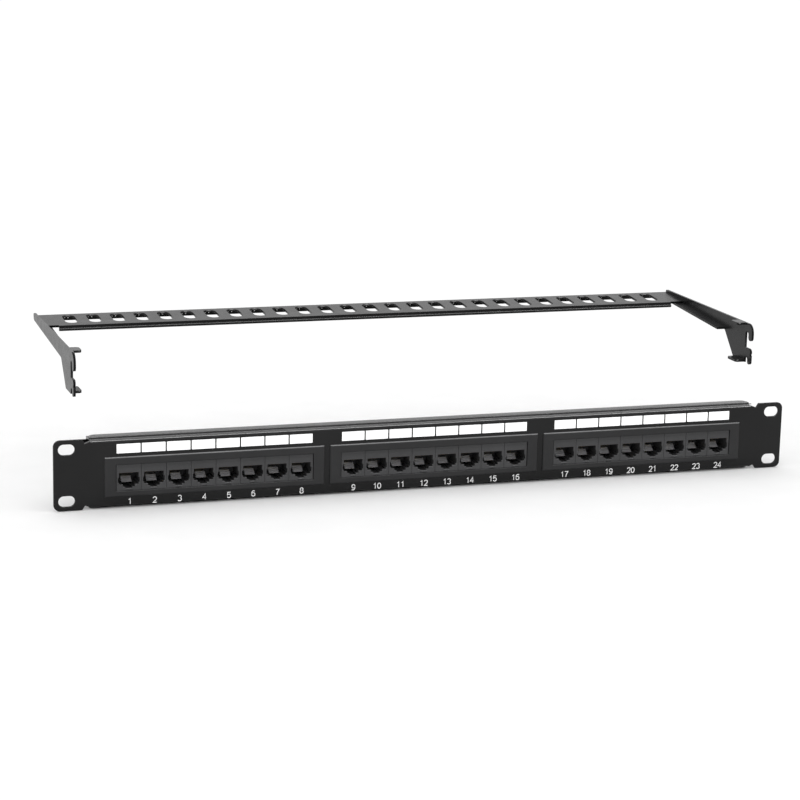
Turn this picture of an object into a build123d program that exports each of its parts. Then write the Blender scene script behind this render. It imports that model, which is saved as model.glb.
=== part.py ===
from build123d import *
import math
import os

# A 24-port 19-inch patch panel, one rack unit high, with its detachable rear cable bar.
# Millimetres. +X runs along the panel, +Y to the rear of the rack, +Z up. The origin is the
# centre of the four rack slots, on the rear face of the ears, which seats on the rack rails.

os.makedirs("parts", exist_ok=True)

# ---------------------------------------------------------------- driving dimensions
sheet = 1.5                 # steel sheet of the panel, its brackets and the cable bar
panel_width = 481.0         # of a 19-inch rack panel
panel_height = 43.6         # one rack unit less its clearance
ear_corner = 4.0
slot_spacing_x = 465.1      # rack standard
slot_spacing_z = 31.75      # rack standard
slot_length = 10.0
slot_width = 6.5

fold_half = 218.2           # the folded flanges end here, short of the ears
notch_x = 221.5             # bend-relief notch beside each flange end
notch_half = 1.6
notch_depth = 2.6
ledge_drop = 1.4            # the fold leaves the face this far below the panel's full height
ledge_rear = 2.0            # behind this place it steps up to full height
step_run = 0.8
flange_rear = 10.0
flange_corner = 5.0
bend = 1.6                  # outer bend radius

module_pitch = 141.1
ports_per_module = 8
port_pitch = 15.38

bezel_half = 68.65
bezel_low, bezel_high = -14.7, 10.0
bezel_proud = 1.2
bezel_chamfer = 0.6
sleeve_half = 64.2
sleeve_low, sleeve_high = -12.9, 6.9
sleeve_rear = 5.5
window_half = 61.75         # the opening that the eight jack faces fill
window_low, window_high = -11.25, 5.25
cutout_gap = 0.25           # between the sleeve and the steel

jack_width = 15.3
jack_low, jack_high = -11.15, 5.15
jack_recess = 0.5           # of the jack faces behind the bezel's face
jack_edge = 0.15

socket_width, socket_height = 12.0, 7.4
socket_depth = 14.0
relief_width = 13.3         # the pocket at each side of the plug
relief_low, relief_high = -6.2, -3.0
step_width, step_low = 7.4, -8.9
latch_width, latch_low = 4.2, -9.8
lip_width, lip_height, lip_proud = 3.6, 0.5, 0.35

wires_per_port = 8
wire_pitch, wire_width, wire_thick = 1.02, 0.45, 0.3
wire_start, wire_tail = 2.5, 3.0            # behind the jack's face, and ahead of its rear
wire_top, wire_knee, wire_foot = -0.1, -2.9, -3.1
carrier_width, carrier_low, carrier_high = 6.2, -7.35, -4.3
carrier_front_high, carrier_front_low = 10.0, 6.5   # depths of its slanted front
rib_depth = 0.6
rib_count = 4

board_front = 16.0          # front face of the circuit boards
board_thick = 1.6
board_half, board_height_half = 66.5, 17.5

frame_half = 67.0           # moulded frame that carries each module behind the sheet
frame_height_half = 18.0
frame_wall = 1.8
frame_flange = 2.0
frame_gap = 0.05
boss_x, boss_z, boss_r = 63.2, 14.2, 2.2
pilot_r, screw_r, head_r, head_thick = 0.95, 0.9, 1.9, 1.3
board_hole_r = 1.2
boss_length, pilot_depth, screw_bite = 10.0, 9.0, 8.0
cross_length, cross_width, cross_depth = 2.4, 0.5, 0.7

block_width, block_height, block_depth = 30.0, 13.4, 12.0
block_pitch, block_z = 30.6, 7.8
blade_pitch, blade_slot, blade_slot_depth = 3.7, 1.1, 8.0
blade_width, blade_thick, blade_length = 3.0, 0.5, 6.5
blade_root, blade_fork = 1.5, 0.5
block_channel = 2.2         # along each block, crossing its slots

bracket_front = 12.2        # front face of the plates that the bar hooks over
bracket_inner, bracket_outer = 211.0, 225.0
bracket_height_half = 20.25
bracket_web_half = 18.4
bracket_foot_front = 4.0
notch_inner = 222.5         # side notches that take the hooks
pin_xs = (212.5, 214.9, 216.9)
pin_y, pin_r, pin_hole_r, pin_recess = 5.4, 0.65, 0.7, 0.55
foot_inset = 0.4
hook_clearance = 0.4

lift = 58.7                 # how far the bar stands above its working height
plate_y = 23.5              # front edge of the hook plates
bar_top = 70.7              # top edge of the arms
arm_outer = 224.9           # inside a 450 mm rack opening
arm_rear = 150.2
knee_y = 54.5               # the low plate ends here and the slim arm begins
plate_low = 26.4            # the plate's lower edge, below the arm's top edge
plate_foot = 16.0           # length of that lower edge
waist_drop, waist_r = 20.2, 0.7
weld_gap = 0.02
arm_flange = 7.0
tab_inner = 217.8
tab_front, tab_corner = 24.2, 2.2
upper_tab_rear, lower_tab_rear = 34.8, 37.9
hook_reach, hook_gap = 9.4, 4.4
upper_slot, upper_tip = 5.5, 11.1
lower_neck, lower_slot, lower_tip, lower_reach = 16.4, 22.4, 26.8, 8.2

bar_slope = 3.4             # degrees that the strip falls towards the front
strip_rear_y, strip_rear_z = 149.3, 69.2
strip_half, strip_depth = 223.3, 29.5
lip_half = 213.7            # the strip's folded lips end here, clear of the arms
front_lip, rear_lip, bead_r = 3.6, 3.8, 0.95
lip_setback = 1.4
tie_holes = 27
tie_pitch, tie_width, tie_length = 15.67, 8.2, 20.0
tie_rear_margin = 3.2
pinhole_r, pinhole_spacing, pinhole_drop = 0.5, 2.3, 2.05

# ---------------------------------------------------------------- places worked out from them
face_y = -sheet
bezel_face = face_y - bezel_proud
jack_face = bezel_face + jack_recess
top_z = panel_height / 2
ledge_z = top_z - ledge_drop
port_offsets = [(i - (ports_per_module - 1) / 2) * port_pitch for i in range(ports_per_module)]
module_centres = [-module_pitch, 0, module_pitch]
window_mid = (window_low + window_high) / 2
window_height = window_high - window_low
sleeve_mid = (sleeve_low + sleeve_high) / 2
sleeve_height = sleeve_high - sleeve_low
arm_inner = arm_outer - sheet


def finish(piece, name):
    """Name a finished piece and write it to its own file."""
    piece.part.label = name
    export_step(piece.part, f"parts/{name}.step")


def front_plane(y):
    """A plane across the panel at depth y, facing the front: x to the right, z up."""
    return Plane((0, y, 0), x_dir=(1, 0, 0), z_dir=(0, -1, 0))


def side_plane(x):
    """A plane at x that faces +X: its axes run to the rear and up."""
    return Plane((x, 0, 0), x_dir=(0, 1, 0), z_dir=(1, 0, 0))


def near(vertices, a, b):
    """The sketch corner nearest to (a, b)."""
    return min(vertices, key=lambda v: math.hypot(v.X - a, v.Y - b))


def patch(centre, width, low, high, mode=Mode.ADD):
    """Sketch a rectangle given by its centre along the panel, its width and its two heights."""
    with Locations((centre, (low + high) / 2)):
        Rectangle(width, high - low, mode=mode)


# ---------------------------------------------------------------- folded steel front panel
with BuildPart() as front_panel:
    with BuildSketch(front_plane(0)):
        RectangleRounded(panel_width, panel_height, ear_corner)
        Rectangle(2 * fold_half, panel_height, mode=Mode.SUBTRACT)
        for side in (-1, 1):
            for end in (-1, 1):
                with BuildLine():
                    Polyline(
                        (side * fold_half, end * top_z),
                        (side * fold_half, end * ledge_z),
                        (side * notch_x, end * (top_z - notch_depth)),
                        (side * (notch_x + notch_half), end * top_z),
                        close=True,
                    )
                make_face(mode=Mode.SUBTRACT)
        with GridLocations(slot_spacing_x, slot_spacing_z, 2, 2):
            SlotOverall(slot_length, slot_width, mode=Mode.SUBTRACT)
    extrude(amount=sheet)
    for end in (-1, 1):
        with BuildSketch(side_plane(-fold_half)):
            with BuildLine():
                Polyline((0, 0), (face_y, 0), (face_y, end * (ledge_z - bend)))
                RadiusArc(
                    (face_y, end * (ledge_z - bend)), (face_y + bend, end * ledge_z), end * bend
                )
                Polyline(
                    (face_y + bend, end * ledge_z),
                    (ledge_rear, end * ledge_z),
                    (ledge_rear + step_run, end * top_z),
                    (flange_rear, end * top_z),
                    (flange_rear, end * (top_z - sheet)),
                    (ledge_rear + 2 * step_run, end * (top_z - sheet)),
                    (ledge_rear + step_run, end * (ledge_z - sheet)),
                    (0, end * (ledge_z - sheet)),
                    (0, 0),
                )
            make_face()
        extrude(amount=2 * fold_half)
    with BuildSketch(front_plane(0)):
        for x in module_centres:
            with Locations((x, sleeve_mid)):
                Rectangle(2 * (sleeve_half + cutout_gap), sleeve_height + 2 * cutout_gap)
    extrude(amount=sheet, mode=Mode.SUBTRACT)
    with BuildSketch(Plane.XY.offset(-top_z)):
        for x in pin_xs:
            with Locations((-x, pin_y), (x, pin_y)):
                Circle(pin_hole_r)
    extrude(amount=panel_height, mode=Mode.SUBTRACT)
    flange_ends = front_panel.edges().filter_by(Axis.Z).filter_by(
        lambda e: abs(e.center().Y - flange_rear) < 0.01 and abs(e.center().X) > fold_half - 0.01
    )
    fillet(flange_ends, flange_corner)
finish(front_panel, "front_panel")


# ---------------------------------------------------------------- the three port modules
def make_bezel(centre):
    """Raised frame round eight jacks, whose sleeve passes through the steel."""
    with BuildPart() as bezel:
        with BuildSketch(front_plane(face_y)):
            patch(centre, 2 * bezel_half, bezel_low, bezel_high)
        extrude(amount=bezel_proud)
        chamfer(bezel.faces().sort_by(Axis.Y)[0].edges(), bezel_chamfer)
        with BuildSketch(front_plane(sleeve_rear)):
            patch(centre, 2 * sleeve_half, sleeve_low, sleeve_high)
        extrude(amount=sleeve_rear - face_y)
        with BuildSketch(front_plane(sleeve_rear)):
            patch(centre, 2 * window_half, window_low, window_high)
        extrude(amount=sleeve_rear - bezel_face, mode=Mode.SUBTRACT)
    return bezel


def make_jack(centre):
    """Housing of one eight-way socket, with its latch notch down."""
    with BuildPart() as jack:
        with BuildSketch(front_plane(board_front)):
            patch(centre, jack_width, jack_low, jack_high)
        extrude(amount=board_front - jack_face)
        chamfer(jack.faces().sort_by(Axis.Y)[0].edges(), jack_edge)
        with BuildSketch(front_plane(jack_face + socket_depth)):
            patch(centre, socket_width, -socket_height, 0)
            patch(centre, relief_width, relief_low, relief_high)
            patch(centre, step_width, step_low, relief_high)
            patch(centre, latch_width, latch_low, relief_high)
        extrude(amount=socket_depth, mode=Mode.SUBTRACT)
        with BuildSketch(front_plane(jack_face)):
            patch(centre, lip_width, latch_low - lip_height, latch_low)
        extrude(amount=lip_proud)
    return jack


def make_carriers(centre):
    """Eight ribbed blocks, one at the back of each socket, that guide the contact wires."""
    rear = jack_face + socket_depth
    band = (carrier_high - carrier_low) / (2 * rib_count - 1)
    with BuildPart() as carriers:
        for offset in port_offsets:
            with BuildSketch(side_plane(centre + offset - carrier_width / 2)):
                with BuildLine():
                    Polyline(
                        (jack_face + carrier_front_high, carrier_high),
                        (jack_face + carrier_front_low, carrier_low),
                        (rear, carrier_low),
                        (rear, carrier_high),
                        close=True,
                    )
                make_face()
                for groove in range(1, rib_count):
                    middle = carrier_low + (2 * groove - 0.5) * band
                    share = (middle - carrier_low) / (carrier_high - carrier_low)
                    run = carrier_front_high - carrier_front_low
                    depth = jack_face + carrier_front_low + share * run
                    with Locations((depth, middle)):
                        Rectangle(2 * rib_depth, band, mode=Mode.SUBTRACT)
            extrude(amount=carrier_width)
    return carriers


def make_contacts(centre):
    """Sprung contact wires: eight to a socket, sloping down from the roof towards the back."""
    front, rear = jack_face + wire_start, jack_face + socket_depth
    with BuildPart() as contacts:
        for offset in port_offsets:
            for i in range(wires_per_port):
                x = centre + offset + (i - (wires_per_port - 1) / 2) * wire_pitch
                with BuildSketch(side_plane(x - wire_width / 2)):
                    with BuildLine():
                        Polyline(
                            (front, wire_top),
                            (front, wire_top - wire_thick),
                            (rear - wire_tail, wire_knee - wire_thick),
                            (rear, wire_foot - wire_thick),
                            (rear, wire_foot),
                            (rear - wire_tail, wire_knee),
                            close=True,
                        )
                    make_face()
                extrude(amount=wire_width)
    return contacts


def make_frame(centre):
    """Moulded box behind the steel that holds the bezel, the jacks and the board together."""
    with BuildPart() as frame:
        with BuildSketch(front_plane(board_front)):
            patch(centre, 2 * frame_half, -frame_height_half, frame_height_half)
        extrude(amount=board_front - frame_gap)
        with BuildSketch(front_plane(board_front)):
            inner = frame_height_half - frame_wall
            patch(centre, 2 * (frame_half - frame_wall), -inner, inner)
        extrude(amount=board_front - frame_flange, mode=Mode.SUBTRACT)
        with BuildSketch(front_plane(board_front)):
            with Locations((centre, 0)):
                with GridLocations(2 * boss_x, 2 * boss_z, 2, 2):
                    Circle(boss_r)
        extrude(amount=boss_length)
        with BuildSketch(front_plane(frame_flange)):
            with Locations((centre, sleeve_mid)):
                Rectangle(2 * (sleeve_half + cutout_gap), sleeve_height + 2 * cutout_gap)
        extrude(amount=frame_flange - frame_gap, mode=Mode.SUBTRACT)
        with BuildSketch(front_plane(board_front)):
            with Locations((centre, 0)):
                with GridLocations(2 * boss_x, 2 * boss_z, 2, 2):
                    Circle(pilot_r)
        extrude(amount=pilot_depth, mode=Mode.SUBTRACT)
    return frame


def make_board(centre):
    """Circuit board between the jacks and the punch-down blocks."""
    with BuildPart() as board:
        with BuildSketch(front_plane(board_front + board_thick)):
            patch(centre, 2 * board_half, -board_height_half, board_height_half)
            with Locations((centre, 0)):
                with GridLocations(2 * boss_x, 2 * boss_z, 2, 2):
                    Circle(board_hole_r, mode=Mode.SUBTRACT)
        extrude(amount=board_thick)
    return board


def block_places(centre):
    """Centres of a module's eight punch-down blocks, four in each of two rows."""
    return [
        (centre + (i - 1.5) * block_pitch, row * block_z) for row in (-1, 1) for i in range(4)
    ]


def make_blocks(centre):
    """Eight punch-down blocks: slotted combs that hold the cable's wires."""
    front = board_front + board_thick
    rear = front + block_depth
    with BuildPart() as blocks:
        for x, z in block_places(centre):
            with BuildSketch(front_plane(rear)):
                with Locations((x, z)):
                    Rectangle(block_width, block_height)
            extrude(amount=block_depth)
            with BuildSketch(front_plane(rear)):
                with Locations((x, z)):
                    with GridLocations(blade_pitch, 1, wires_per_port, 1):
                        Rectangle(blade_slot, block_height)
                    Rectangle(block_width, block_channel)
            extrude(amount=blade_slot_depth, mode=Mode.SUBTRACT)
    return blocks


def make_blades(centre):
    """Forked blades that cut into the wires, one in each slot of the punch-down blocks."""
    root = board_front + board_thick + block_depth - blade_slot_depth
    with BuildPart() as blades:
        for x, z in block_places(centre):
            with BuildSketch(front_plane(root + blade_length)):
                with Locations((x, z)):
                    with GridLocations(blade_pitch, 1, wires_per_port, 1):
                        Rectangle(blade_thick, blade_width)
                        Rectangle(blade_thick, blade_fork, mode=Mode.SUBTRACT)
            extrude(amount=blade_length - blade_root)
            with BuildSketch(front_plane(root + blade_root)):
                with Locations((x, z)):
                    with GridLocations(blade_pitch, 1, wires_per_port, 1):
                        Rectangle(blade_thick, blade_width)
            extrude(amount=blade_root)
    return blades


for number, centre in enumerate(module_centres, start=1):
    finish(make_bezel(centre), f"bezel_{number}")
    finish(make_carriers(centre), f"contact_carriers_{number}")
    finish(make_contacts(centre), f"jack_contacts_{number}")
    finish(make_frame(centre), f"module_frame_{number}")
    finish(make_board(centre), f"circuit_board_{number}")
    finish(make_blocks(centre), f"punchdown_blocks_{number}")
    finish(make_blades(centre), f"punchdown_blades_{number}")
    for place, offset in enumerate(port_offsets, start=1):
        port = (number - 1) * ports_per_module + place
        finish(make_jack(centre + offset), f"jack_housing_{port:02d}")

with BuildPart() as module_screws:
    head_plane = front_plane(board_front + board_thick + head_thick)
    for centre in module_centres:
        with BuildSketch(head_plane):
            with Locations((centre, 0)):
                with GridLocations(2 * boss_x, 2 * boss_z, 2, 2):
                    Circle(head_r)
        extrude(amount=head_thick)
        with BuildSketch(head_plane):
            with Locations((centre, 0)):
                with GridLocations(2 * boss_x, 2 * boss_z, 2, 2):
                    Circle(screw_r)
        extrude(amount=head_thick + board_thick + screw_bite)
        with BuildSketch(head_plane):
            with Locations((centre, 0)):
                with GridLocations(2 * boss_x, 2 * boss_z, 2, 2):
                    Rectangle(cross_length, cross_width)
                    Rectangle(cross_width, cross_length)
        extrude(amount=cross_depth, mode=Mode.SUBTRACT)
finish(module_screws, "module_screws")


# ---------------------------------------------------------------- brackets that the bar hooks over
def make_bracket(side):
    """Plate behind one end of the panel, notched from its outer edge for the two hooks."""
    working_top = bar_top - lift
    foot_width = fold_half - foot_inset - bracket_inner
    foot_centre = side * (bracket_inner + foot_width / 2)
    notch_width = bracket_outer - notch_inner
    drop_in = upper_tip - upper_slot + hook_clearance
    with BuildPart() as bracket:
        with BuildSketch(front_plane(bracket_front + sheet)):
            patch(
                side * (bracket_inner + bracket_outer) / 2,
                bracket_outer - bracket_inner,
                -bracket_web_half,
                bracket_web_half,
            )
            patch(foot_centre, foot_width, -bracket_height_half, bracket_height_half)
            for seat, head in ((upper_slot, 0), (lower_slot, lower_neck)):
                patch(
                    side * (bracket_outer - notch_width / 2),
                    notch_width,
                    working_top - seat,
                    working_top - head + drop_in,
                    mode=Mode.SUBTRACT,
                )
        extrude(amount=sheet)
        for end in (-1, 1):
            middle = end * (bracket_height_half - sheet / 2)
            with BuildSketch(front_plane(bracket_front)):
                patch(foot_centre, foot_width, middle - sheet / 2, middle + sheet / 2)
            extrude(amount=bracket_front - bracket_foot_front)
        with BuildSketch(Plane.XY.offset(-top_z)):
            with Locations(*[(side * x, pin_y) for x in pin_xs]):
                Circle(pin_hole_r)
        extrude(amount=panel_height, mode=Mode.SUBTRACT)
    return bracket


finish(make_bracket(-1), "hook_bracket_left")
finish(make_bracket(1), "hook_bracket_right")

with BuildPart() as bracket_rivets:
    for low in (-top_z + pin_recess, bracket_height_half - sheet):
        with BuildSketch(Plane.XY.offset(low)):
            with Locations(*[(side * x, pin_y) for side in (-1, 1) for x in pin_xs]):
                Circle(pin_r)
        extrude(amount=top_z - pin_recess - bracket_height_half + sheet)
finish(bracket_rivets, "bracket_rivets")


# ---------------------------------------------------------------- detachable cable bar
slope = math.radians(bar_slope)
rise = math.tan(slope)
along = (0, math.cos(slope), math.sin(slope))
upward = (0, -math.sin(slope), math.cos(slope))
strip_edge = (0, strip_rear_y, strip_rear_z)
strip_plane = Plane(strip_edge, x_dir=(1, 0, 0), z_dir=upward)
hole_centre = -tie_rear_margin - tie_length / 2

with BuildPart() as cable_strip:
    with BuildSketch(strip_plane):
        with Locations((0, -strip_depth / 2)):
            Rectangle(2 * lip_half, strip_depth)
        with Locations((0, -(strip_depth - lip_setback) / 2)):
            Rectangle(2 * strip_half, strip_depth - lip_setback)
        with Locations((0, hole_centre)):
            with GridLocations(tie_pitch, 1, tie_holes, 1):
                SlotOverall(tie_length, tie_width, rotation=90, mode=Mode.SUBTRACT)
    extrude(amount=-sheet)
    with BuildSketch(Plane((-lip_half, *strip_edge[1:]), x_dir=along, z_dir=(1, 0, 0))):
        with Locations((-strip_depth + sheet / 2, -front_lip / 2)):
            Rectangle(sheet, front_lip)
        with Locations((-strip_depth, -front_lip + bead_r)):
            Circle(bead_r)
        with Locations((-sheet / 2, -rear_lip / 2)):
            Rectangle(sheet, rear_lip)
    extrude(amount=2 * lip_half)
    with BuildSketch(Plane(strip_edge, x_dir=(1, 0, 0), z_dir=along)):
        for shift in (-pinhole_spacing / 2, pinhole_spacing / 2):
            with Locations((shift, pinhole_drop)):
                with GridLocations(tie_pitch, 1, tie_holes, 1):
                    Circle(pinhole_r)
    extrude(amount=-2 * sheet, mode=Mode.SUBTRACT)
finish(cable_strip, "cable_strip")


def strip_underside(y):
    """Height of the strip's lower face at y."""
    return strip_rear_z + (y - strip_rear_y) * rise - sheet / math.cos(slope) - weld_gap


def make_arm(side):
    """One arm of the bar: slim web, hook plate, inward flange under the strip and two tabs."""
    upper_finger = plate_y - hook_reach
    lower_finger = plate_y - lower_reach
    gap = plate_y - hook_gap
    low = bar_top - plate_low
    web_low = sheet / math.cos(slope)
    near_x = arm_inner if side > 0 else -arm_outer
    with BuildPart() as arm:
        with BuildSketch(side_plane(near_x)) as web:
            with BuildLine():
                Polyline(
                    (plate_y, bar_top),
                    (arm_rear, bar_top),
                    (arm_rear, strip_underside(arm_rear) - web_low),
                    (knee_y, strip_underside(knee_y) - web_low),
                    (plate_y + plate_foot, low),
                    (plate_y, low),
                    close=True,
                )
            make_face()
            hooks = (
                (upper_finger, 0, upper_slot, upper_tip),
                (lower_finger, lower_neck, lower_slot, lower_tip),
            )
            for finger, head, slot, tip in hooks:
                patch((finger + plate_y) / 2, plate_y - finger, bar_top - slot, bar_top - head)
                patch((finger + gap) / 2, gap - finger, bar_top - tip, bar_top - head)
            with Locations((lower_finger, bar_top - waist_drop)):
                Circle(waist_r, mode=Mode.SUBTRACT)
            rounds = (    # each corner of the outline, with its radius
                (upper_finger, bar_top, 6.2),
                (upper_finger, bar_top - upper_tip, 2.5),
                (gap, bar_top - upper_tip, 2.3),
                (gap, bar_top - upper_slot, 2.0),
                (plate_y, bar_top - upper_slot, 2.0),
                (lower_finger, bar_top - lower_neck, 2.4),
                (lower_finger, bar_top - lower_tip, 1.9),
                (gap, bar_top - lower_tip, 1.7),
                (gap, bar_top - lower_slot, 1.8),
                (plate_y, bar_top - lower_slot, 1.8),
                (plate_y + plate_foot, low, 1.5),
                (knee_y, strip_underside(knee_y) - web_low, 3.0),
                (arm_rear, bar_top, 1.2),
                (arm_rear, strip_underside(arm_rear) - web_low, 3.0),
            )
            for a, b, radius in rounds:
                fillet(near(web.vertices(), a, b), radius)
        extrude(amount=sheet)
        flange_plane = side_plane(arm_outer - arm_flange if side > 0 else -arm_inner)
        with BuildSketch(flange_plane):
            with BuildLine():
                Polyline(
                    (knee_y, strip_underside(knee_y)),
                    (strip_rear_y, strip_underside(strip_rear_y)),
                    (strip_rear_y, strip_underside(strip_rear_y) - web_low),
                    (knee_y, strip_underside(knee_y) - web_low),
                    close=True,
                )
            make_face()
        extrude(amount=arm_flange - sheet)
        tab_width = arm_inner - tab_inner
        for height, rear in ((bar_top - sheet, upper_tab_rear), (low, lower_tab_rear)):
            with BuildSketch(Plane.XY.offset(height)) as tab:
                with Locations((side * (tab_inner + tab_width / 2), (tab_front + rear) / 2)):
                    Rectangle(tab_width, rear - tab_front)
                for y in (tab_front, rear):
                    fillet(near(tab.vertices(), side * tab_inner, y), tab_corner)
            extrude(amount=sheet)
    return arm


finish(make_arm(-1), "bar_arm_left")
finish(make_arm(1), "bar_arm_right")
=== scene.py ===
import math
from itertools import combinations

import bmesh
import bpy
from mathutils import Euler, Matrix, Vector


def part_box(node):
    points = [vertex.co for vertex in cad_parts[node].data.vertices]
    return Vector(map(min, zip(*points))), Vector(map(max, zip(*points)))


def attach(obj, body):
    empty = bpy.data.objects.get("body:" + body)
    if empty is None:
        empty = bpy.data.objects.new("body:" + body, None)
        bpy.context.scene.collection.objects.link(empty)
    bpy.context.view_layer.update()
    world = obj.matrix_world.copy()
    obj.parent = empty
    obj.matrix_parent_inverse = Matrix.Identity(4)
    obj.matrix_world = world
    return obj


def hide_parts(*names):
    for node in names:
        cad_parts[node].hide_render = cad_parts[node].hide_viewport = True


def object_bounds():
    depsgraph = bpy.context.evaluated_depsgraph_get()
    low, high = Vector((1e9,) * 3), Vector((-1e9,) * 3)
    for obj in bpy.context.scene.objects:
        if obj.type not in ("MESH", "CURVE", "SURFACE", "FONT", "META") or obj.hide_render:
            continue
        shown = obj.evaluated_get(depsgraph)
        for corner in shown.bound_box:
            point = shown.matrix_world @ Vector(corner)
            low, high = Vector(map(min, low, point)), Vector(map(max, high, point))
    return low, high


# A 24-port rack patch panel with its lift-off cable bar, in the CAD's frame and in metres.
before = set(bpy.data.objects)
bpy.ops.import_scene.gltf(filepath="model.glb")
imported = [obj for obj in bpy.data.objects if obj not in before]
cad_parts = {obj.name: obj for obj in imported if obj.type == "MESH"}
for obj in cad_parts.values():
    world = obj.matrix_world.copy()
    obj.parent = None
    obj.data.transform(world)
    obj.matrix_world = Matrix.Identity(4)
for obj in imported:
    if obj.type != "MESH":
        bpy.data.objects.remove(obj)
cad_low, cad_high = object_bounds()
scene = bpy.context.scene
MM = 0.001
PANEL, BAR = "panel", "cable_bar"
MODULES = 3
PORTS_PER_MODULE = 8


# ---------------------------------------------------------------- materials
CLOUDS, PATCHES = 35, 160     # changes of colour, and of gloss, along a metre
NOISE_LOW, NOISE_HIGH = 0.3, 0.7    # most of a noise's values lie between these


class Nodes:
    """A small wrapper that makes the nodes of one material."""

    def __init__(self, name):
        self.material = bpy.data.materials.new(name)
        self.material.use_nodes = True
        self.tree = self.material.node_tree
        self.shader = self.tree.nodes["Principled BSDF"]
        self.place = self.tree.nodes.new("ShaderNodeTexCoord").outputs["Object"]

    def link(self, output, socket):
        self.tree.links.new(output, socket)

    def noise(self, scale, detail):
        node = self.tree.nodes.new("ShaderNodeTexNoise")
        node.inputs["Scale"].default_value = scale
        node.inputs["Detail"].default_value = detail
        self.link(self.place, node.inputs["Vector"])
        return node.outputs["Fac"]

    def spread(self, value, low, high):
        node = self.tree.nodes.new("ShaderNodeMapRange")
        node.inputs["From Min"].default_value = NOISE_LOW
        node.inputs["From Max"].default_value = NOISE_HIGH
        node.inputs["To Min"].default_value = low
        node.inputs["To Max"].default_value = high
        self.link(value, node.inputs["Value"])
        return node.outputs["Result"]

    def tint(self, value, dark, light):
        node = self.tree.nodes.new("ShaderNodeValToRGB")
        node.color_ramp.elements[0].position = NOISE_LOW
        node.color_ramp.elements[1].position = NOISE_HIGH
        node.color_ramp.elements[0].color = (*dark, 1)
        node.color_ramp.elements[1].color = (*light, 1)
        self.link(value, node.inputs["Fac"])
        return node.outputs["Color"]

    def bump(self, value, distance, strength, under=None):
        node = self.tree.nodes.new("ShaderNodeBump")
        node.inputs["Distance"].default_value = distance
        node.inputs["Strength"].default_value = strength
        self.link(value, node.inputs["Height"])
        if under:
            self.link(under, node.inputs["Normal"])
        return node.outputs["Normal"]


def finish_of(name, dark, light, rough, grain, depth, specular=0.5, metallic=0.0):
    """A surface with cloudy colour, uneven gloss, and a fine grain over one five times as coarse."""
    nodes = Nodes(name)
    shader = nodes.shader
    nodes.link(nodes.tint(nodes.noise(CLOUDS, 4), dark, light), shader.inputs["Base Color"])
    nodes.link(nodes.spread(nodes.noise(PATCHES, 3), *rough), shader.inputs["Roughness"])
    coarse = nodes.bump(nodes.noise(grain / 5, 2), depth * 1.5, 0.5)
    fine = nodes.bump(nodes.noise(grain, 3), depth, 1.0, coarse)
    nodes.link(fine, shader.inputs["Normal"])
    shader.inputs["Specular IOR Level"].default_value = specular
    shader.inputs["Metallic"].default_value = metallic
    return nodes.material


def grey(value):
    return (value, value, value * 1.04)


def white(value):
    return (value, value, value)


COAT = finish_of("powder_coat", grey(0.003), grey(0.005), (0.17, 0.22), 2600, 0.000006, 0.24)
BAR_COAT = finish_of("bar_coat", grey(0.003), grey(0.005), (0.24, 0.30), 2600, 0.000007, 0.13)
BEZEL = finish_of("bezel_moulding", grey(0.011), grey(0.015), (0.46, 0.54), 4200, 0.000006, 0.25)
JACK = finish_of("jack_moulding", grey(0.026), grey(0.032), (0.44, 0.54), 4800, 0.000005, 0.36)
INNER = finish_of("rear_moulding", grey(0.014), grey(0.020), (0.44, 0.54), 3600, 0.000008, 0.40)
CARRIER = finish_of("carrier_moulding", grey(0.27), grey(0.33), (0.40, 0.50), 5200, 0.000004)
GOLD = finish_of("gold_wire", (0.40, 0.29, 0.11), (0.50, 0.36, 0.14), (0.26, 0.36), 5000, 0.000002,
                 0.5, 1.0)
TIN = finish_of("tinned_blade", grey(0.52), grey(0.62), (0.30, 0.42), 4200, 0.000003, 0.5, 1.0)
ZINC = finish_of("zinc_screw", grey(0.50), grey(0.60), (0.28, 0.38), 3800, 0.000004, 0.5, 1.0)
LAMINATE = finish_of("board_laminate", (0.008, 0.050, 0.020), (0.012, 0.066, 0.026), (0.26, 0.34),
                     1800, 0.000006)
INK = finish_of("white_ink", white(0.86), white(0.91), (0.50, 0.62), 5200, 0.000003)


# ---------------------------------------------------------------- pieces made from the CAD's shapes
def add_piece(name, mesh, body, material):
    piece = bpy.data.objects.new(name, mesh)
    scene.collection.objects.link(piece)
    piece.data.materials.clear()
    piece.data.materials.append(material)
    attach(piece, body)
    return piece


FLAT = math.radians(0.5)      # faces that meet at less than this become one
SHARP = math.radians(40)      # edges that turn more than this are rounded
SAME_WAY = math.cos(math.radians(35))
SLIVER = 0.02 * MM            # shorter edges than this are closed up
RIM = 0.20 * MM               # the sides of a hole or corner of about 1.3 mm radius
LONG = 3.0 * MM               # on the bar, only edges longer than this are rounded
FOLDED_EDGE, BRACKET_EDGE = 0.30 * MM, 0.20 * MM
BEZEL_EDGE, FRAME_EDGE, JACK_EDGE = 0.15 * MM, 0.20 * MM, 0.08 * MM


def crowded(vertex, sharp):
    """Whether two sharp edges leave a corner in almost the same direction."""
    ways = [
        (edge.other_vert(vertex).co - vertex.co).normalized()
        for edge in vertex.link_edges
        if edge in sharp
    ]
    return any(a.dot(b) > SAME_WAY for a, b in combinations(ways, 2))


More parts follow.
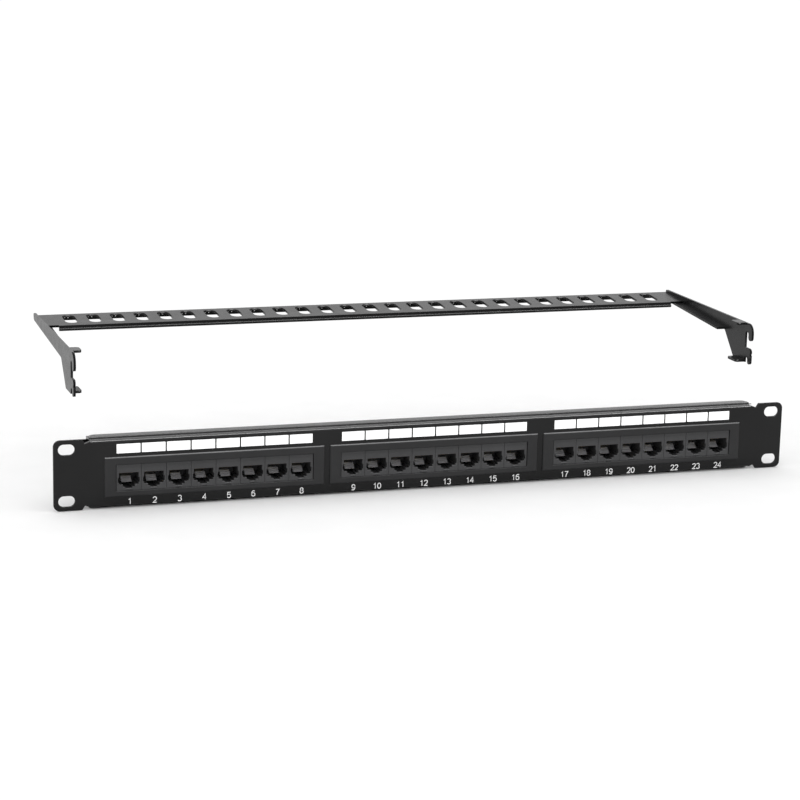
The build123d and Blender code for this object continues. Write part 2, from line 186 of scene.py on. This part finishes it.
def softened(node, suffix, body, material, width, shortest=RIM, clamp=False):
    """A copy of a CAD node's shape with small rounded edges, which stands for the node.

    Edges no longer than shortest stay sharp, because some are closer to another edge than a bevel
    is wide, and so do the edges at a crowded corner, where bevels would run out into a spike.
    The clamp narrows every bevel of the piece until none runs past its neighbours.
    """
    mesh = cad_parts[node].data.copy()
    bm = bmesh.new()
    bm.from_mesh(mesh)
    bmesh.ops.remove_doubles(bm, verts=bm.verts, dist=SLIVER)
    bmesh.ops.dissolve_limit(
        bm, angle_limit=FLAT, verts=bm.verts, edges=bm.edges, use_dissolve_boundaries=False
    )
    weights = bm.edges.layers.float.new("bevel_weight_edge")
    sharp = {edge for edge in bm.edges if edge.calc_face_angle(0) > SHARP}
    kept = {vertex for vertex in bm.verts if crowded(vertex, sharp)}
    for edge in sharp:
        edge[weights] = float(edge.calc_length() > shortest and kept.isdisjoint(edge.verts))
    bm.to_mesh(mesh)
    bm.free()
    piece = add_piece(node + suffix, mesh, body, material)
    bevel = piece.modifiers.new("edges", "BEVEL")
    bevel.width = width
    bevel.segments = 2
    bevel.limit_method = "WEIGHT"
    bevel.use_clamp_overlap = clamp
    piece.data.shade_smooth()
    weigh = piece.modifiers.new("normals", "WEIGHTED_NORMAL")
    weigh.weight = 90
    bpy.context.view_layer.objects.active = piece
    bpy.ops.object.modifier_apply(modifier=bevel.name)
    bpy.ops.object.modifier_apply(modifier=weigh.name)
    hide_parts(node)


# Edges lie close together on the bar's thin parts, so the clamp leaves their bevels very fine.
softened("front_panel", "_steel", PANEL, COAT, FOLDED_EDGE)
for side in ("left", "right"):
    softened(f"hook_bracket_{side}", "_steel", PANEL, COAT, BRACKET_EDGE)
    softened(f"bar_arm_{side}", "_steel", BAR, BAR_COAT, FOLDED_EDGE, LONG, True)
softened("cable_strip", "_steel", BAR, BAR_COAT, FOLDED_EDGE, LONG, True)
for number in range(1, MODULES + 1):
    softened(f"bezel_{number}", "_frame", PANEL, BEZEL, BEZEL_EDGE)
    softened(f"module_frame_{number}", "_box", PANEL, INNER, FRAME_EDGE)
for port in range(1, MODULES * PORTS_PER_MODULE + 1):
    softened(f"jack_housing_{port:02d}", "_shell", PANEL, JACK, JACK_EDGE)

# The CAD's other nodes keep their own shapes.
PLAIN = {
    "contact_carriers": CARRIER,
    "jack_contacts": GOLD,
    "circuit_board": LAMINATE,
    "punchdown_blocks": INNER,
    "punchdown_blades": TIN,
    "module_screws": ZINC,
    "bracket_rivets": COAT,
}
for name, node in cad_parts.items():
    for start, material in PLAIN.items():
        if name.startswith(start):
            node.data.materials.clear()
            node.data.materials.append(material)


# ---------------------------------------------------------------- what is printed on the face
FACE_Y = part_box("front_panel")[0].y
INK_THICK = 0.04 * MM
INK_SUNK = 0.02 * MM          # how far the ink reaches into the steel
FIELD_SIZE = (14.5 * MM, 5.7 * MM)
FIELD_CORNER = 0.25 * MM
FIELD_Z = 14.9 * MM
NUMBER_Z = -17.9 * MM
NUMBER_HEIGHT = 3.8 * MM
NUMBER_SHIFT = 0.7 * MM
STROKE = 0.50 * MM
DIGIT_WIDE = 1.14             # how much wider the digits are than their strokes below
DIGIT_STEP = 0.74             # from one digit to the next, as a share of their height
LEAST_ACROSS = 0.5            # keeps the outer corner of a sharp turn from running out


def add_ink(name, bm):
    """One printed mark, from its closed shape."""
    bmesh.ops.recalc_face_normals(bm, faces=bm.faces)
    mesh = bpy.data.meshes.new(name)
    bm.to_mesh(mesh)
    bm.free()
    add_piece(name, mesh, PANEL, INK)


def make_field(name, x):
    """One write-on field: a thin printed rectangle with slightly rounded corners."""
    steps = 4
    half_x, half_z = (size / 2 - FIELD_CORNER for size in FIELD_SIZE)
    bm = bmesh.new()
    ring = []
    for turn, (sx, sz) in enumerate(((1, -1), (1, 1), (-1, 1), (-1, -1))):
        for step in range(steps + 1):
            angle = math.radians(-90 + 90 * turn + 90 * step / steps)
            across = x + sx * half_x + FIELD_CORNER * math.cos(angle)
            up = FIELD_Z + sz * half_z + FIELD_CORNER * math.sin(angle)
            ring.append(bm.verts.new((across, FACE_Y - INK_THICK, up)))
    face = bm.faces.new(ring)
    made = bmesh.ops.extrude_face_region(bm, geom=[face])
    for vertex in [g for g in made["geom"] if isinstance(g, bmesh.types.BMVert)]:
        vertex.co.y = FACE_Y + INK_SUNK
    add_ink(name, bm)


def bow(centre, radii, start, end):
    """Points along part of an ellipse, from one angle in degrees to another."""
    steps = 14
    angles = [math.radians(start + (end - start) * i / steps) for i in range(steps + 1)]
    return [
        (centre[0] + radii[0] * math.cos(angle), centre[1] + radii[1] * math.sin(angle))
        for angle in angles
    ]


# The pen strokes of each digit, in a cell one unit high, from its middle.
DIGITS = {
    "0": [bow((0, 0), (0.25, 0.45), 90, 450)],
    "1": [[(-0.15, 0.25), (0.0, 0.33), (0.06, 0.45), (0.06, -0.45)]],
    "2": [bow((0, 0.20), (0.24, 0.25), 170, -20) + [(0.10, -0.10), (-0.24, -0.45), (0.25, -0.45)]],
    "3": [
        bow((0, 0.22), (0.22, 0.23), 160, -90),
        bow((0, -0.22), (0.25, 0.23), 90, -160),
    ],
    "4": [[(0.26, -0.18), (-0.26, -0.18), (0.12, 0.45), (0.12, -0.45)]],
    "5": [[(0.22, 0.45), (-0.17, 0.45), (-0.22, 0.02)] + bow((0, -0.15), (0.25, 0.30), 135, -155)],
    "6": [bow((0, -0.16), (0.24, 0.29), 0, 360), bow((0.04, 0.0), (0.28, 0.45), 50, 200)],
    "7": [[(-0.24, 0.45), (0.25, 0.45), (0.02, 0.02), (-0.08, -0.45)]],
    "8": [bow((0, 0.23), (0.21, 0.22), 0, 360), bow((0, -0.22), (0.25, 0.23), 0, 360)],
    "9": [bow((0, 0.16), (0.24, 0.29), 0, 360), bow((-0.04, 0.0), (0.28, 0.45), 230, 380)],
}


def ribbon(bm, stroke, half):
    """Ink one pen stroke as a thin slab of even width that follows its points."""
    points = [Vector(point) for point in stroke]
    edges = []
    for i, point in enumerate(points):
        before = points[max(i - 1, 0)]
        after = points[min(i + 1, len(points) - 1)]
        ways = [way.normalized() for way in (point - before, after - point) if way.length > 0]
        along = sum(ways, Vector((0, 0))).normalized()
        across = Vector((-along.y, along.x))
        square = max(abs(across.dot(Vector((-ways[0].y, ways[0].x)))), LEAST_ACROSS)
        edges.append((point + across * half / square, point - across * half / square))
    rings = []
    for left, right in edges:
        corners = ((left, 0), (right, 0), (right, INK_THICK), (left, INK_THICK))
        rings.append([bm.verts.new((p.x, FACE_Y + INK_SUNK - depth, p.y)) for p, depth in corners])
    for ring, following in zip(rings, rings[1:]):
        for i in range(4):
            bm.faces.new((ring[i], ring[(i + 1) % 4], following[(i + 1) % 4], following[i]))
    bm.faces.new(rings[0])
    bm.faces.new(reversed(rings[-1]))


def make_number(name, text, x):
    """A printed port number."""
    bm = bmesh.new()
    for place, digit in enumerate(text):
        middle = x + (place - (len(text) - 1) / 2) * DIGIT_STEP * NUMBER_HEIGHT
        for stroke in DIGITS[digit]:
            inked = [
                (middle + a * DIGIT_WIDE * NUMBER_HEIGHT, NUMBER_Z + b * NUMBER_HEIGHT)
                for a, b in stroke
            ]
            ribbon(bm, inked, STROKE / 2)
    add_ink(name, bm)


for port in range(1, MODULES * PORTS_PER_MODULE + 1):
    low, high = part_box(f"jack_housing_{port:02d}")
    x = (low.x + high.x) / 2
    make_field(f"write_on_field_{port:02d}", x)
    make_number(f"port_number_{port:02d}", str(port), x + NUMBER_SHIFT)


# ---------------------------------------------------------------- floor, light and camera
FLOOR_Z = cad_low.z - 0.2 * MM
FLOOR_REACH = 14.0
ORIGIN = Vector((0, 0, 0))
DAYLIGHT = 1.1
CAMERA_LENS, SENSOR_WIDTH = 109.24, 36.0
CAMERA_PLACE = (-0.4932, -1.3922, 0.36485)
CAMERA_TURN = (77.3741, -1.2979, -18.3552)


def make_floor():
    """A wide pale sheet."""
    corners = [(x * FLOOR_REACH, y * FLOOR_REACH) for x, y in ((-1, -1), (1, -1), (1, 1), (-1, 1))]
    mesh = bpy.data.meshes.new("floor")
    mesh.from_pydata([(x, y, FLOOR_Z) for x, y in corners], [], [(0, 1, 2, 3)])
    floor = bpy.data.objects.new("floor", mesh)
    scene.collection.objects.link(floor)
    floor.data.materials.append(
        finish_of("floor_paper", white(0.93), white(0.95), (0.85, 0.95), 400, 0.00001, 0.0)
    )
    return floor


def make_light(name, place, size, power):
    """A rectangular light that faces the panel's middle."""
    data = bpy.data.lights.new(name, "AREA")
    data.shape = "RECTANGLE"
    data.size, data.size_y = size
    data.energy = power
    light = bpy.data.objects.new(name, data)
    light.location = place
    light.rotation_euler = (ORIGIN - Vector(place)).to_track_quat("-Z", "Y").to_euler()
    scene.collection.objects.link(light)
    return light


def spare(light, shown):
    """Keep a light off one object, so that it brightens the metal without burning out the floor."""
    group = bpy.data.collections.new(light.name + "_spares")
    group.objects.link(shown)
    group.collection_objects[0].light_linking.link_state = "EXCLUDE"
    light.light_linking.receiver_collection = group


floor = make_floor()
overhead = make_light("overhead", place=(0.0, -0.15, 1.4), size=(3.0, 0.4), power=120)
spare(overhead, floor)
make_light("front_left", place=(-1.4, -1.6, 1.2), size=(1.2, 1.2), power=1.5)
world = bpy.data.worlds.new("studio")
world.use_nodes = True
world.node_tree.nodes["Background"].inputs["Color"].default_value = (1, 1, 1, 1)
world.node_tree.nodes["Background"].inputs["Strength"].default_value = DAYLIGHT
scene.world = world

camera_data = bpy.data.cameras.new("camera")
camera_data.lens = CAMERA_LENS
camera_data.sensor_width = SENSOR_WIDTH
camera_data.clip_start = 0.05
camera_data.clip_end = 50.0
camera = bpy.data.objects.new("camera", camera_data)
camera.location = CAMERA_PLACE
camera.rotation_euler = Euler([math.radians(turn) for turn in CAMERA_TURN])
scene.collection.objects.link(camera)
scene.camera = camera
scene.view_settings.view_transform = "Standard"
